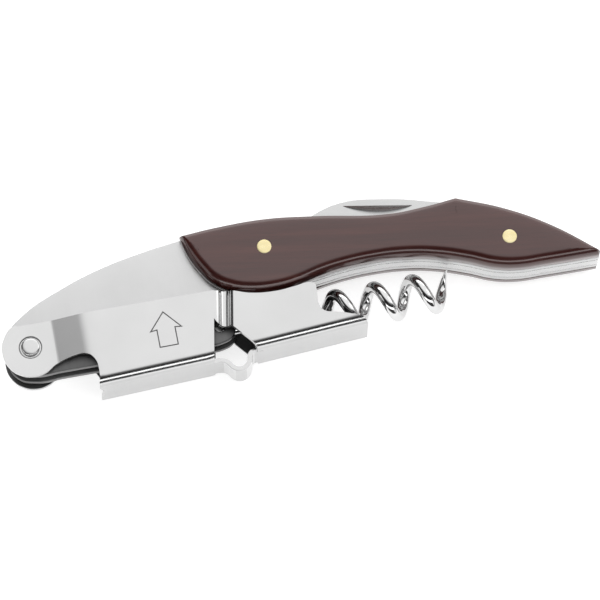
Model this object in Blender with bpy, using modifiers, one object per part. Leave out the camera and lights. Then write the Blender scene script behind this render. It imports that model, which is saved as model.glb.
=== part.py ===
"""A waiter's corkscrew: a two-scale wooden handle, a folding worm, a foil blade and a stepped lever.

The handle lies on its side. X runs along it from the lever's pivot to the tail, Y runs from the belly
to the back, and Z runs through its thickness. The drawing below is in millimetres around the middle
plane, and place() moves it so that the finished part stands on z = 0 at the middle of its box.
"""
import math

import bmesh
import bpy
from mathutils import Matrix, Vector

MM = 0.001
GAP = 0.3                      # clearance between pieces that touch or slide

# Layers through the thickness, as distances from the middle plane
SPRING_HALF = 1.4
LINER_IN = SPRING_HALF + GAP
LINER_OUT = 3.0
SCALE_IN = LINER_OUT + GAP
SCALE_OUT = 6.8
SCALE_ROUNDING = 1.2
LEVER_HALF = 6.9
EAR_HALF = 5.2
SHEET = 1.0

# Box of the finished part, which sets where the origin falls
EAR_CENTRE = (-54.9, -1.2)
EAR_RADIUS = 5.8
NOSE_RADIUS = 5.2
TAIL_X = 61.0
BACK_Y = 18.55
BELLY_Y = -13.38

# Pivots and pins: x, y and radius
LEVER_PIVOT = (-54.95, -1.0)
LEVER_RIVET_RADIUS = 1.6
LEVER_HOLE_RADIUS = 1.85
COUNTERSINK_RADIUS = 2.6
COUNTERSINK_DEPTH = 0.55
LEVER_WASHER_RADIUS = 3.6
BLADE_WASHER_RADIUS = 3.2
WORM_PIVOT = (-17.0, -3.4)
WORM_PIN_RADIUS = 1.1
BLADE_PIVOT = (43.5, 3.1)
FRONT_PIN = (-5.3, 10.4)
SPACER_NOSE_RADIUS = 3.2
SCALE_PIN_RADIUS = 1.45
SPRING_PINS = {"front": (-7.5, 4.0), "middle": (16.0, 5.4), "rear": (52.0, -1.75)}
SPRING_PIN_RADIUS = 0.6

# Lever: a folded channel with a lip rest half way along
STEP_FOOT = (-19.5, -11.1)
LEVER_TOP = 3.3
LEVER_END = 12.2
BEND_RADIUS = 1.3
JOGGLE = (-50.4, -41.2)         # where the walls spread from the ears to their full width
GROOVE_X = -15.5
GROOVE_REACH = 2.0
GROOVE_DEPTH = 1.5
GROOVE_SHOULDER = 1.25
WINDOW_END = -10.6
TONGUE_X = -14.45
TONGUE_REACH = (4.2, 3.6)
TONGUE_DEPTH = 2.52
TONGUE_CREST = 2.1
TONGUE_HALF = 3.9
BITE = (-43.9, -11.0)
BITE_RADIUS = 2.1

# Worm: a right-handed coil
WORM_WIRE = 1.2
WORM_COIL = 3.0
WORM_SPREAD = (11.0, 17.0)      # where the coil widens and its axis drops a little
WORM_GROWTH = 0.3
WORM_DROP = 0.2
WORM_PITCH = 7.9
WORM_TIP_X = 30.4
WORM_TURNS = 5.1
HUB_RADIUS = 2.5
BEARING_RADIUS = 3.2

BLADE_HALF = 0.6
NOTCH_DEPTH = 0.35
TANG_RADIUS = 3.7
CURVE_STEPS = 5
HOLE_SIDES = 24

# Outlines: "s" is a point on a smooth stretch and "c" a corner
BACK_LINE = [
    (-59.2, 3.0, "s"), (-55.0, 6.75, "s"), (-47.0, 10.45, "s"), (-38.9, 13.1, "s"), (-28.8, 15.1, "s"),
]
SCALE_BACK = [
    (-21.7, 16.05, "c"), (-14.0, 16.5, "s"), (-4.0, 16.4, "s"), (6.0, 15.1, "s"), (20.5, 12.75, "s"),
    (28.0, 12.85, "s"), (34.5, 13.45, "c"), (44.0, 9.35, "s"), (52.5, 4.1, "s"), (TAIL_X, -3.0, "c"),
]
BELLY_LINE = [
    (60.6, -3.6, "c"), (50.0, -3.4, "s"), (43.8, -3.15, "s"), (39.6, -2.2, "s"), (34.2, 0.1, "s"),
    (28.0, 2.2, "s"), (22.0, 3.4, "s"), (16.0, 3.8, "s"), (10.0, 3.6, "s"),
]
SCALE_FRONT = [
    (5.0, 2.95, "s"), (0.3, 1.85, "s"), (-4.5, 1.35, "s"), (-9.5, 1.8, "s"), (-13.5, 3.1, "s"),
    (-16.8, 5.3, "s"), (-19.1, 8.6, "s"), (-20.8, 12.3, "s"),
]


def place(x, y, z=0.0):
    """A point of the drawing, in metres, in the frame of the finished part."""
    shift_x = (EAR_CENTRE[0] - EAR_RADIUS + TAIL_X) / 2
    shift_y = (BACK_Y + BELLY_Y) / 2
    return Vector(((x - shift_x) * MM, (y - shift_y) * MM, (z + LEVER_HALF) * MM))


def make_material(name, colour, roughness, metallic):
    material = bpy.data.materials.new(name)
    material.use_nodes = True
    shader = material.node_tree.nodes["Principled BSDF"]
    shader.inputs["Base Color"].default_value = (*colour, 1.0)
    shader.inputs["Roughness"].default_value = roughness
    shader.inputs["Metallic"].default_value = metallic
    return material


def make_materials():
    return {
        "steel": make_material("brushed_steel", (0.72, 0.72, 0.72), 0.32, 1.0),
        "polished": make_material("polished_steel", (0.80, 0.80, 0.80), 0.10, 1.0),
        "wood": make_material("dark_lacquered_wood", (0.13, 0.07, 0.055), 0.22, 0.0),
        "brass": make_material("brass", (0.88, 0.76, 0.42), 0.25, 1.0),
    }


def adopt(obj, collection, material=None):
    """Put an object in its collection, with its material."""
    for old in list(obj.users_collection):
        old.objects.unlink(obj)
    collection.objects.link(obj)
    if material:
        obj.data.materials.clear()
        obj.data.materials.append(material)
    return obj


def add_spline(curve, outline, origin):
    """A closed outline with smooth stretches and corners, drawn around its object's origin."""
    spline = curve.splines.new("BEZIER")
    spline.bezier_points.add(len(outline) - 1)
    spline.use_cyclic_u = True
    for point, (x, y, kind) in zip(spline.bezier_points, outline):
        point.co = ((x - origin[0]) * MM, (y - origin[1]) * MM, 0.0)
        handle = "VECTOR" if kind == "c" else "AUTO"
        point.handle_left_type = handle
        point.handle_right_type = handle


def add_circle(curve, centre, radius, origin):
    spline = curve.splines.new("POLY")
    spline.points.add(HOLE_SIDES - 1)
    spline.use_cyclic_u = True
    for i, point in enumerate(spline.points):
        angle = 2 * math.pi * i / HOLE_SIDES
        x = centre[0] + radius * math.cos(angle) - origin[0]
        y = centre[1] + radius * math.sin(angle) - origin[1]
        point.co = (x * MM, y * MM, 0.0, 1.0)


def flat_plate(name, outline, z_low, z_high, origin, holes=()):
    """A flat outline with round holes, as thick as z_low to z_high. A hole is ((x, y), radius)."""
    curve = bpy.data.curves.new(name, "CURVE")
    curve.dimensions = "2D"
    curve.fill_mode = "BOTH"
    curve.resolution_u = CURVE_STEPS
    curve.extrude = (z_high - z_low) / 2 * MM
    if outline:
        add_spline(curve, outline, origin)
    for centre, radius in holes:
        add_circle(curve, centre, radius, origin)
    obj = bpy.data.objects.new(name, curve)
    obj.location = place(*origin, (z_low + z_high) / 2)
    return obj


def as_mesh(obj, collection):
    """Turn a curve object into a welded mesh object with the same name and place."""
    if not obj.users_collection:
        collection.objects.link(obj)
    bpy.context.view_layer.update()
    evaluated = obj.evaluated_get(bpy.context.evaluated_depsgraph_get())
    mesh = bpy.data.meshes.new_from_object(evaluated)
    name = obj.name
    matrix = obj.matrix_world.copy()
    bpy.data.objects.remove(obj)
    weld(mesh)
    solid = bpy.data.objects.new(name, mesh)
    solid.matrix_world = matrix
    collection.objects.link(solid)
    return solid


def weld(mesh):
    work = bmesh.new()
    work.from_mesh(mesh)
    bmesh.ops.remove_doubles(work, verts=work.verts, dist=1e-6)
    bmesh.ops.recalc_face_normals(work, faces=work.faces)
    work.to_mesh(mesh)
    work.free()


def cutter(obj, cutters):
    """Make an object a cutter: kept, shown as wire, and not part of the model."""
    adopt(obj, cutters)
    obj.hide_render = True
    obj.display_type = "WIRE"
    return obj


def combine(obj, other, operation):
    modifier = obj.modifiers.new(operation.lower() + "_" + other.name, "BOOLEAN")
    modifier.operation = operation
    modifier.solver = "EXACT"
    modifier.object = other
    return obj


def rod(name, centre, radius, z_low, z_high, sides=HOLE_SIDES):
    """A round bar along Z."""
    bpy.ops.mesh.primitive_cylinder_add(
        vertices=sides, radius=radius * MM, depth=(z_high - z_low) * MM,
        location=place(*centre, (z_low + z_high) / 2))
    obj = bpy.context.active_object
    obj.name = name
    return obj


def turned(name, profile, centre):
    """A turned piece on an axis along Z. The profile runs from its top to its bottom at +X."""
    mesh = bpy.data.meshes.new(name)
    points = [(r * MM, 0.0, z * MM) for r, z in profile]
    mesh.from_pydata(points, [(i, i + 1) for i in range(len(points) - 1)], [])
    obj = bpy.data.objects.new(name, mesh)
    obj.location = place(*centre)
    screw = obj.modifiers.new("turn", "SCREW")
    screw.axis = "Z"
    screw.steps = HOLE_SIDES
    screw.render_steps = HOLE_SIDES
    screw.use_merge_vertices = True
    screw.merge_threshold = 1e-6
    return obj


def core_outline():
    """Outline of the steel liners: round nose, back, tail, belly and the worm's bearing."""
    px, py = EAR_CENTRE
    nose = [(px + NOSE_RADIUS * math.cos(a), py + NOSE_RADIUS * math.sin(a), "s")
            for a in (math.radians(270), math.radians(225), math.radians(180))]
    wx, wy = WORM_PIVOT
    bearing = [(wx + BEARING_RADIUS * math.cos(a), wy + BEARING_RADIUS * math.sin(a), "s")
               for a in (0.0, math.radians(-45))]
    inner = [(4.0, 2.9, "s"), (-2.5, 2.3, "s"), (-9.0, 2.4, "s"), (-12.3, 1.2, "s"), (-13.6, -1.2, "s")]
    foot = [(wx, wy - BEARING_RADIUS - 0.05, "s"), (wx - 4.0, wy - BEARING_RADIUS - 0.1, "c"),
            (px + 5.0, py - NOSE_RADIUS, "c")]
    return nose + BACK_LINE + SCALE_BACK + BELLY_LINE + inner + bearing + foot


def make_liner(name, side, parts, material):
    holes = [(LEVER_PIVOT, LEVER_RIVET_RADIUS + GAP), (WORM_PIVOT, WORM_PIN_RADIUS + GAP),
             (FRONT_PIN, SCALE_PIN_RADIUS + GAP), (BLADE_PIVOT, SCALE_PIN_RADIUS + GAP)]
    holes += [(centre, SPRING_PIN_RADIUS + GAP) for centre in SPRING_PINS.values()]
    low, high = sorted((side * LINER_IN, side * LINER_OUT))
    return adopt(flat_plate(name, core_outline(), low, high, (0.0, 0.0), holes), parts, material)


def make_scale(name, side, parts, material, cutters):
    """A wooden scale, with its outer edge rounded and a hole for each brass pin."""
    low, high = sorted((side * SCALE_IN, side * SCALE_OUT))
    outline = SCALE_BACK + BELLY_LINE + SCALE_FRONT
    scale = as_mesh(flat_plate(name, outline, low, high, (0.0, 0.0)), parts)
    work = bmesh.new()
    work.from_mesh(scale.data)
    flats = [e for e in work.edges if all(abs(f.normal.z) > 0.99 for f in e.link_faces)]
    bmesh.ops.dissolve_edges(work, edges=flats, use_verts=False)
    rim = [e for e in work.edges
           if any(f.normal.z * side > 0.99 for f in e.link_faces)
           and any(abs(f.normal.z) < 0.5 for f in e.link_faces)]
    bmesh.ops.bevel(work, geom=rim, offset=SCALE_ROUNDING * MM, segments=3, profile=0.5,
                    affect="EDGES", clamp_overlap=True)
    work.to_mesh(scale.data)
    work.free()
    for label, centre in (("front", FRONT_PIN), ("rear", BLADE_PIVOT)):
        hole = rod(f"{name}_{label}_hole", centre, SCALE_PIN_RADIUS + GAP, low - 1.0, high + 1.0)
        combine(scale, cutter(hole, cutters), "DIFFERENCE")
    return adopt(scale, parts, material)


def make_front_spacer(parts, material):
    """The block between the liners, set back from the nose and belly, with room for the worm's hub."""
    px, py = LEVER_PIVOT
    wx, wy = WORM_PIVOT
    room = HUB_RADIUS + 0.8
    pocket = [(wx + room * math.cos(math.radians(a)), wy + room * math.sin(math.radians(a)), "s")
              for a in (45, 90, 135, 180)]
    nose = [(px + SPACER_NOSE_RADIUS * math.cos(a), py + SPACER_NOSE_RADIUS * math.sin(a), "s")
            for a in (math.radians(270), math.radians(225), math.radians(180))]
    back = [(-57.4, 2.4, "s"), (-54.0, 5.8, "s"), (-46.9, 10.05, "s"), (-38.8, 12.85, "s"),
            (-28.8, 14.85, "s"), (-14.0, 16.0, "s"), (-4.5, 15.9, "s"), (-1.2, 15.4, "c")]
    end = [(-1.6, 6.3, "c"), (-10.2, 5.4, "c"), (-12.6, 2.6, "s")]
    foot = [(wx - 4.2, py - SPACER_NOSE_RADIUS, "c"), (px + 2.5, py - SPACER_NOSE_RADIUS, "c")]
    outline = nose + back + end + pocket + foot
    holes = [(LEVER_PIVOT, LEVER_RIVET_RADIUS + GAP), (FRONT_PIN, SCALE_PIN_RADIUS + GAP)]
    spacer = flat_plate("front_spacer", outline, -SPRING_HALF, SPRING_HALF, (0.0, 0.0), holes)
    return adopt(spacer, parts, material)


def make_backspring(parts, material):
    """The spring that closes the belly, from behind the worm's hub to the tail."""
    top = [(-9.8, 5.0, "c"), (4.0, 5.9, "s"), (16.0, 6.6, "s"), (22.0, 6.2, "s"), (28.0, 4.9, "s"),
           (34.2, 2.6, "s"), (39.5, 0.2, "s"), (43.5, -1.15, "s"), (50.0, -0.7, "s"), (55.0, -0.9, "s"),
           (TAIL_X - 1.9, -1.8, "c"), (TAIL_X, -3.0, "c")]
    under = [(4.0, 2.9, "s"), (-2.5, 2.3, "s"), (-9.0, 2.4, "s"), (-10.6, 2.5, "c")]
    holes = [(centre, SPRING_PIN_RADIUS + GAP) for centre in SPRING_PINS.values()]
    spring = flat_plate("backspring", top + BELLY_LINE + under, -SPRING_HALF, SPRING_HALF, (0.0, 0.0), holes)
    return adopt(spring, parts, material)


def make_scale_pin(name, centre, parts, material):
    return adopt(rod(name, centre, SCALE_PIN_RADIUS, -SCALE_OUT, SCALE_OUT), parts, material)


def make_spring_pin(name, centre, parts, material):
    return adopt(rod(name, centre, SPRING_PIN_RADIUS, -LINER_OUT, LINER_OUT, 12), parts, material)


def make_washer(name, centre, bore, radius, z_low, z_high, parts, material):
    washer = flat_plate(name, [], z_low, z_high, centre, [(centre, radius), (centre, bore)])
    return adopt(washer, parts, material)


def make_lever_rivet(parts, material):
    """The rivet through the lever's ears. Each end flares into the countersink round a raised stud."""
    face = EAR_HALF
    half = [(0.0, face + 0.6), (1.4, face + 0.6), (LEVER_RIVET_RADIUS, face + 0.4),
            (LEVER_RIVET_RADIUS, face + 0.1), (2.1, face + 0.1), (2.15, face - 0.08),
            (LEVER_RIVET_RADIUS, face - 0.2)]
    profile = half + [(r, -z) for r, z in reversed(half)]
    return adopt(turned("lever_rivet", profile, LEVER_PIVOT), parts, material)


def ease(t):
    """0 before t = 0, 1 after t = 1, and a smooth bend between."""
    t = min(1.0, max(0.0, t))
    return t * t * (3 - 2 * t)


def groove_stations():
    """X and inward depth across one half of the groove, from its deepest line to the flat wall.

    The outer face turns on two arcs: a tight one at the bottom and a wider one at the shoulder.
    """
    total = (GROOVE_REACH ** 2 + GROOVE_DEPTH ** 2) / (2 * GROOVE_DEPTH)
    bottom = total - GROOVE_SHOULDER
    sweep = math.asin(GROOVE_REACH / total)
    angles = [sweep * i / 4 for i in range(5)]
    half = [(bottom * math.sin(a), GROOVE_DEPTH - bottom * (1 - math.cos(a))) for a in angles]
    half += [(GROOVE_REACH - GROOVE_SHOULDER * math.sin(a), GROOVE_SHOULDER * (1 - math.cos(a)))
             for a in reversed(angles[:-1])]
    return half


def channel_stations():
    """Along the lever: x, half the outer width there, and Y of the web's outer face."""
    rows = [(-62.0, EAR_HALF)]
    for i in range(7):
        t = i / 6
        rows.append((JOGGLE[0] + (JOGGLE[1] - JOGGLE[0]) * t, EAR_HALF + (LEVER_HALF - EAR_HALF) * ease(t)))
    rows.append((STEP_FOOT[0] - 1.2, LEVER_HALF))
    groove = groove_stations()
    rows += [(GROOVE_X - x, LEVER_HALF - depth) for x, depth in reversed(groove)]
    rows += [(GROOVE_X + x, LEVER_HALF - depth) for x, depth in groove[1:]]
    rows += [(-9.0, LEVER_HALF), (14.0, LEVER_HALF)]
    return [(x, half, web_height(x)) for x, half in rows]


def web_height(x):
    """Y of the web's outer face, which steps in a little past the lip rest."""
    if x < (STEP_FOOT[0] + WINDOW_END) / 2:
        return -11.7 + 0.034 * (x + 43.0)
    return -10.18 + 0.06 * (x - WINDOW_END)


def channel_section(half, web):
    """Half of the folded section from its top edge, down a wall and round the bend to the middle."""
    points = [(half, 7.0)]
    for i in range(5):
        angle = math.radians(22.5 * i)
        points.append((half - BEND_RADIUS * (1 - math.cos(angle)), web + BEND_RADIUS * (1 - math.sin(angle))))
    return points


def make_channel(name, parts):
    """The folded sheet before it is trimmed: a loft of one section along the lever."""
    work = bmesh.new()
    rows = []
    for x, half, web in channel_stations():
        wall = channel_section(half, web)
        ring = [(y, z) for z, y in wall] + [(y, -z) for z, y in reversed(wall)]
        rows.append([work.verts.new(place(x, y, z)) for y, z in ring])
    for row, following in zip(rows, rows[1:]):
        for i in range(len(row) - 1):
            work.faces.new((row[i], row[i + 1], following[i + 1], following[i]))
    mesh = bpy.data.meshes.new(name)
    work.to_mesh(mesh)
    work.free()
    channel = bpy.data.objects.new(name, mesh)
    parts.objects.link(channel)
    shell = channel.modifiers.new("sheet", "SOLIDIFY")
    shell.thickness = SHEET * MM
    shell.offset = -1.0
    shell.use_even_offset = True
    return channel


def tongue_line():
    """Centre line of the looped tongue as (x, y, heading): in from one web, round, and up to the other."""
    left_y = web_height(STEP_FOOT[0]) + SHEET / 2
    right_y = web_height(WINDOW_END) + SHEET / 2
    line = [(STEP_FOOT[0] - 1.2, left_y, 0.0)]
    for side, reach, depth in ((-1, TONGUE_REACH[0], TONGUE_DEPTH),
                               (1, TONGUE_REACH[1], TONGUE_DEPTH + right_y - left_y)):
        total = (reach ** 2 + depth ** 2) / (2 * depth)
        shoulder = total - TONGUE_CREST
        sweep = math.acos(1 - depth / total)
        base = left_y if side < 0 else right_y
        angles = [sweep * i / 5 for i in range(6)]
        outer = [(TONGUE_X + side * (reach - shoulder * math.sin(a)),
                  base - shoulder * (1 - math.cos(a)), side * a) for a in angles]
        crest = [(TONGUE_X + side * TONGUE_CREST * math.sin(a),
                  base - depth + TONGUE_CREST * (1 - math.cos(a)), side * a) for a in reversed(angles[:-1])]
        half = outer + crest
        line += half if side < 0 else list(reversed(half))[1:]
    line.append((WINDOW_END + 1.2, right_y, 0.0))
    return line


def tongue_outline():
    """The tongue's edge view: its centre line thickened, a little thinner than the sheet it joins."""
    thick = SHEET / 2 - 0.04
    line = tongue_line()
    left = [(x - thick * math.sin(h), y + thick * math.cos(h), "c") for x, y, h in line]
    right = [(x + thick * math.sin(h), y - thick * math.cos(h), "c") for x, y, h in line]
    return left + list(reversed(right))


def lever_side_outline():
    """Side view of the lever: ears, cap lifter, top edge, and the sloping lip at the free end."""
    px, py = EAR_CENTRE
    ear = [(px + EAR_RADIUS * math.cos(math.radians(a)), py + EAR_RADIUS * math.sin(math.radians(a)), "s")
           for a in (118, 150, 180, 210, 240, 270, 292)]
    lifter = [(-50.3, -5.3, "s"), (-47.0, -4.5, "s"), (-44.3, -4.6, "s"), (-42.7, -6.2, "s"),
              (-42.3, -8.6, "s"), (-42.9, -12.0, "c")]
    under = [(-42.9, -16.0, "c"), (LEVER_END + 0.2, -16.0, "c")]
    lip = [(LEVER_END, -8.9, "c"), (11.6, -7.9, "s"), (9.2, -6.75, "s"), (6.1, -5.75, "s"), (4.2, -5.2, "s"),
           (3.35, -4.2, "s"), (3.3, -0.4, "s"), (3.2, 0.8, "s"), (2.3, 1.25, "s")]
    top = [(-1.0, 1.0, "s"), (-4.5, 0.75, "s"), (-9.7, 1.3, "s"), (-13.0, 2.4, "s"), (-14.6, 2.95, "c"),
           (-16.6, LEVER_TOP - 0.2, "c"), (-17.4, LEVER_TOP, "c"), (-56.6, LEVER_TOP + 0.45, "c")]
    return ear + lifter + under + lip + top


def window_outline():
    """The opening under the lip rest, right across the lever. Only the tongue spans it."""
    return [(-17.95, -2.5, "c"), (-17.3, -3.6, "s"), (-16.2, -4.2, "s"), (-14.8, -4.4, "c"),
            (WINDOW_END, -9.4, "c"), (WINDOW_END, -16.0, "c"), (-20.4, -16.0, "c"), (*STEP_FOOT, "c")]


def make_lever(parts, material, cutters):
    """The stamped lever: a folded channel trimmed to its side view, with its window, tongue and holes."""
    lever = make_channel("lever", parts)
    side = flat_plate("lever_side_view", lever_side_outline(), -9.0, 9.0, (0.0, 0.0))
    combine(lever, cutter(as_mesh(side, cutters), cutters), "INTERSECT")
    window = flat_plate("lever_window", window_outline(), -9.5, 9.5, (0.0, 0.0))
    combine(lever, cutter(as_mesh(window, cutters), cutters), "DIFFERENCE")
    tongue = flat_plate("lever_tongue", tongue_outline(), -TONGUE_HALF, TONGUE_HALF, (0.0, 0.0))
    combine(lever, cutter(as_mesh(tongue, cutters), cutters), "UNION")
    seat = [(0.0, 9.0), (COUNTERSINK_RADIUS, 9.0), (COUNTERSINK_RADIUS, EAR_HALF),
            (LEVER_HOLE_RADIUS, EAR_HALF - COUNTERSINK_DEPTH)]
    seat += [(r, -z) for r, z in reversed(seat)]
    hole = as_mesh(turned("lever_rivet_hole", seat, LEVER_PIVOT), cutters)
    combine(lever, cutter(hole, cutters), "DIFFERENCE")
    bite = rod("cap_lifter_bite", BITE, BITE_RADIUS, -4.0, 4.0)
    bite.rotation_euler = (math.radians(90), 0.0, 0.0)
    combine(lever, cutter(bite, cutters), "DIFFERENCE")
    return adopt(set_origin(lever, LEVER_PIVOT), parts, material)


def set_origin(obj, centre):
    """Move a mesh object's origin to a pivot without moving the mesh."""
    target = place(*centre)
    obj.data.transform(Matrix.Translation(obj.location - target))
    obj.location = target
    return obj


def worm_points():
    """The wire's centre line from the hub to the tip, with its relative thickness."""
    wx, wy = WORM_PIVOT
    start = WORM_TIP_X - WORM_TURNS * WORM_PITCH
    points = [(wx + 1.8, wy, 0.0, 1.0), (wx + 4.0, wy, 0.0, 1.0)]
    steps = int(WORM_TURNS * 14)
    for i in range(steps + 1):
        turn = WORM_TURNS * (1 - i / steps)
        along = WORM_TURNS - turn
        x = start + along * WORM_PITCH
        spread = ease((x - WORM_SPREAD[0]) / (WORM_SPREAD[1] - WORM_SPREAD[0]))
        radius = WORM_COIL * ease(along / 0.55) + WORM_GROWTH * spread
        if turn < 0.5:
            radius += 0.9 * (1 - turn / 0.5) ** 2
        thickness = min(1.0, 0.12 + turn / 0.3)
        angle = -2 * math.pi * turn
        points.append((x, wy - WORM_DROP * spread + radius * math.cos(angle),
                       radius * math.sin(angle), thickness))
    return points


def make_worm(parts, material, cutters):
    """The worm: a flat hub between the liners and one round wire that coils to a sharp tip."""
    curve = bpy.data.curves.new("worm", "CURVE")
    curve.dimensions = "3D"
    curve.bevel_depth = WORM_WIRE * MM
    curve.bevel_resolution = 2
    curve.use_fill_caps = True
    route = worm_points()
    spline = curve.splines.new("POLY")
    spline.points.add(len(route) - 1)
    for point, (x, y, z, thickness) in zip(spline.points, route):
        point.co = ((x - WORM_PIVOT[0]) * MM, (y - WORM_PIVOT[1]) * MM, z * MM, 1.0)
        point.radius = thickness
    wire = bpy.data.objects.new("worm", curve)
    wire.location = place(*WORM_PIVOT)
    worm = as_mesh(wire, parts)
    hub = cutter(rod("worm_hub", WORM_PIVOT, HUB_RADIUS, -SPRING_HALF, SPRING_HALF), cutters)
    combine(worm, hub, "UNION")
    bore = cutter(rod("worm_bore", WORM_PIVOT, WORM_PIN_RADIUS + GAP, -3.0, 3.0), cutters)
    combine(worm, bore, "DIFFERENCE")
    return adopt(worm, parts, material)


def blade_outline():
    """The foil blade, folded in: tang, high back, round nose and the edge inside the handle."""
    px, py = BLADE_PIVOT
    tang = [(px + TANG_RADIUS * math.cos(math.radians(a)), py + TANG_RADIUS * math.sin(math.radians(a)), "s")
            for a in (-120, -60, 0, 60, 100)]
    back = [(38.6, 9.6, "s"), (34.6, 13.4, "s"), (28.0, 15.9, "s"), (20.0, 17.8, "s"), (12.5, BACK_Y, "s"),
            (6.5, 17.2, "s"), (2.4, 14.9, "s"), (0.9, 13.0, "c")]
    edge = [(8.0, 11.3, "s"), (18.0, 9.0, "s"), (28.0, 6.9, "s"), (35.0, 3.9, "s"), (39.3, 1.0, "s")]
    return tang + back + edge


def make_blade(parts, material, cutters):
    """The folding blade with its thumbnail notch."""
    blade = flat_plate("blade", blade_outline(), -BLADE_HALF, BLADE_HALF, BLADE_PIVOT,
                       [(BLADE_PIVOT, SCALE_PIN_RADIUS + GAP)])
    blade = as_mesh(blade, parts)
    notch = flat_plate("nail_notch", [(12.8, 17.1, "c"), (26.0, 14.9, "c"), (22.6, 14.35, "s"),
                                      (19.0, 14.5, "s"), (15.6, 15.4, "s")],
                       BLADE_HALF - NOTCH_DEPTH, BLADE_HALF + 0.5, (0.0, 0.0))
    combine(blade, cutter(as_mesh(notch, cutters), cutters), "DIFFERENCE")
    return adopt(blade, parts, material)


def smooth(obj):
    """Shade a mesh's round faces smooth and keep its edges sharp."""
    if obj.type == "MESH":
        obj.data.shade_smooth()
        obj.data.set_sharp_from_angle(angle=math.radians(35))


def clear_scene():
    for obj in list(bpy.data.objects):
        bpy.data.objects.remove(obj)


def main():
    clear_scene()
    parts = bpy.data.collections.new("waiters_corkscrew")
    cutters = bpy.data.collections.new("cutters")
    bpy.context.scene.collection.children.link(parts)
    bpy.context.scene.collection.children.link(cutters)
    finish = make_materials()
    steel = finish["steel"]
    for label, side in (("near", 1), ("far", -1)):
        make_liner(f"{label}_liner", side, parts, steel)
        make_scale(f"{label}_scale", side, parts, finish["wood"], cutters)
        low, high = sorted((side * (LINER_OUT + GAP), side * (EAR_HALF - SHEET - GAP)))
        make_washer(f"lever_washer_{label}", LEVER_PIVOT, LEVER_RIVET_RADIUS + GAP, LEVER_WASHER_RADIUS,
                    low, high,
                    parts, finish["brass"])
        low, high = sorted((side * (BLADE_HALF + 0.25), side * SPRING_HALF))
        make_washer(f"blade_washer_{label}", BLADE_PIVOT, SCALE_PIN_RADIUS + GAP, BLADE_WASHER_RADIUS,
                    low, high,
                    parts, finish["brass"])
    make_front_spacer(parts, steel)
    make_backspring(parts, steel)
    make_scale_pin("front_scale_pin", FRONT_PIN, parts, finish["brass"])
    make_scale_pin("blade_pivot_pin", BLADE_PIVOT, parts, finish["brass"])
    for label, centre in SPRING_PINS.items():
        make_spring_pin(f"spring_pin_{label}", centre, parts, steel)
    adopt(rod("worm_pivot_pin", WORM_PIVOT, WORM_PIN_RADIUS, -LINER_OUT, LINER_OUT), parts, steel)
    make_lever_rivet(parts, finish["polished"])
    make_worm(parts, finish["polished"], cutters)
    make_blade(parts, finish["polished"], cutters)
    make_lever(parts, steel, cutters)
    for obj in parts.objects:
        smooth(obj)


main()
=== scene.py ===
"""Looks for a folding waiter's corkscrew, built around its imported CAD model.

Every visible piece is drawn again finely, in the CAD's own millimetre drawing: X along the handle from
the lever's pivot to the tail, Y from the belly to the back, Z through the thickness from the middle
plane. place() puts a point of the drawing into the frame, where the CAD rivet and pins fix it.
"""
import math

import bmesh
import bpy
import numpy as np
from mathutils import Matrix, Vector


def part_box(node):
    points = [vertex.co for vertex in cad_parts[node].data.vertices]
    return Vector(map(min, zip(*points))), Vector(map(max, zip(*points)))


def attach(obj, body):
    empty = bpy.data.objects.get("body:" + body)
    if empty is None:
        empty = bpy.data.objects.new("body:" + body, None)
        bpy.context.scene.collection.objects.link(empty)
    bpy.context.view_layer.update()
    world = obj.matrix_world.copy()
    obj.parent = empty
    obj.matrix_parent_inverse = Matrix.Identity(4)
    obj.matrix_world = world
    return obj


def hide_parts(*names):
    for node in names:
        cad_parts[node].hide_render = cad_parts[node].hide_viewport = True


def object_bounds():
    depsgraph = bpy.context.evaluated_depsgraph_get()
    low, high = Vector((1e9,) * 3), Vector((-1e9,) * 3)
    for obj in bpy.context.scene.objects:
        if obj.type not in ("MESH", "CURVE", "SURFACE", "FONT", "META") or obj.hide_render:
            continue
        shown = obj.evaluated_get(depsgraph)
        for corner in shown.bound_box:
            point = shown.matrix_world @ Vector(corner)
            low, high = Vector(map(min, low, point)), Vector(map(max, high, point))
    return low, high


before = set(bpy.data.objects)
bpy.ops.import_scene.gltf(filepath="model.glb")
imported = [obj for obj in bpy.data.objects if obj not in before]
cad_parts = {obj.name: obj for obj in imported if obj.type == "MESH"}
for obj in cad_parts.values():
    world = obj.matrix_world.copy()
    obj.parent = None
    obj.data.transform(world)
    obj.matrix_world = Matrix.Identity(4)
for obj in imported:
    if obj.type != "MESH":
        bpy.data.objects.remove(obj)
CAD_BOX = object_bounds()
MM = 0.001

# Pivots and pins in the drawing
EAR_CENTRE = (-54.9, -1.2)
LEVER_PIVOT = (-54.95, -1.0)
WORM_PIVOT = (-17.0, -3.4)
BLADE_PIVOT = (43.5, 3.1)
FRONT_PIN = (-5.3, 10.4)
SPRING_PINS = {"front": (-7.5, 4.0), "middle": (16.0, 5.4), "rear": (52.0, -1.75)}


def node_size(name):
    low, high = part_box(name)
    return (high - low) / MM


def node_middle(name):
    low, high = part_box(name)
    return (low + high) / 2


PIVOT_POINT = node_middle("lever_rivet")
TAIL_X = (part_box("near_liner")[1].x - PIVOT_POINT.x) / MM + LEVER_PIVOT[0]

# Layers through the thickness, from the CAD nodes
SPRING_HALF = node_size("backspring").z / 2
LINER_OUT = node_size("worm_pivot_pin").z / 2
SCALE_OUT = node_size("front_scale_pin").z / 2
SCALE_IN = SCALE_OUT - node_size("near_scale").z
LEVER_HALF = node_size("lever").z / 2
SCALE_PIN_RADIUS = node_size("front_scale_pin").x / 2
WORM_PIN_RADIUS = node_size("worm_pivot_pin").x / 2
SPRING_PIN_RADIUS = node_size("spring_pin_rear").x / 2
BLADE_HALF = node_size("blade").z / 2

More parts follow.
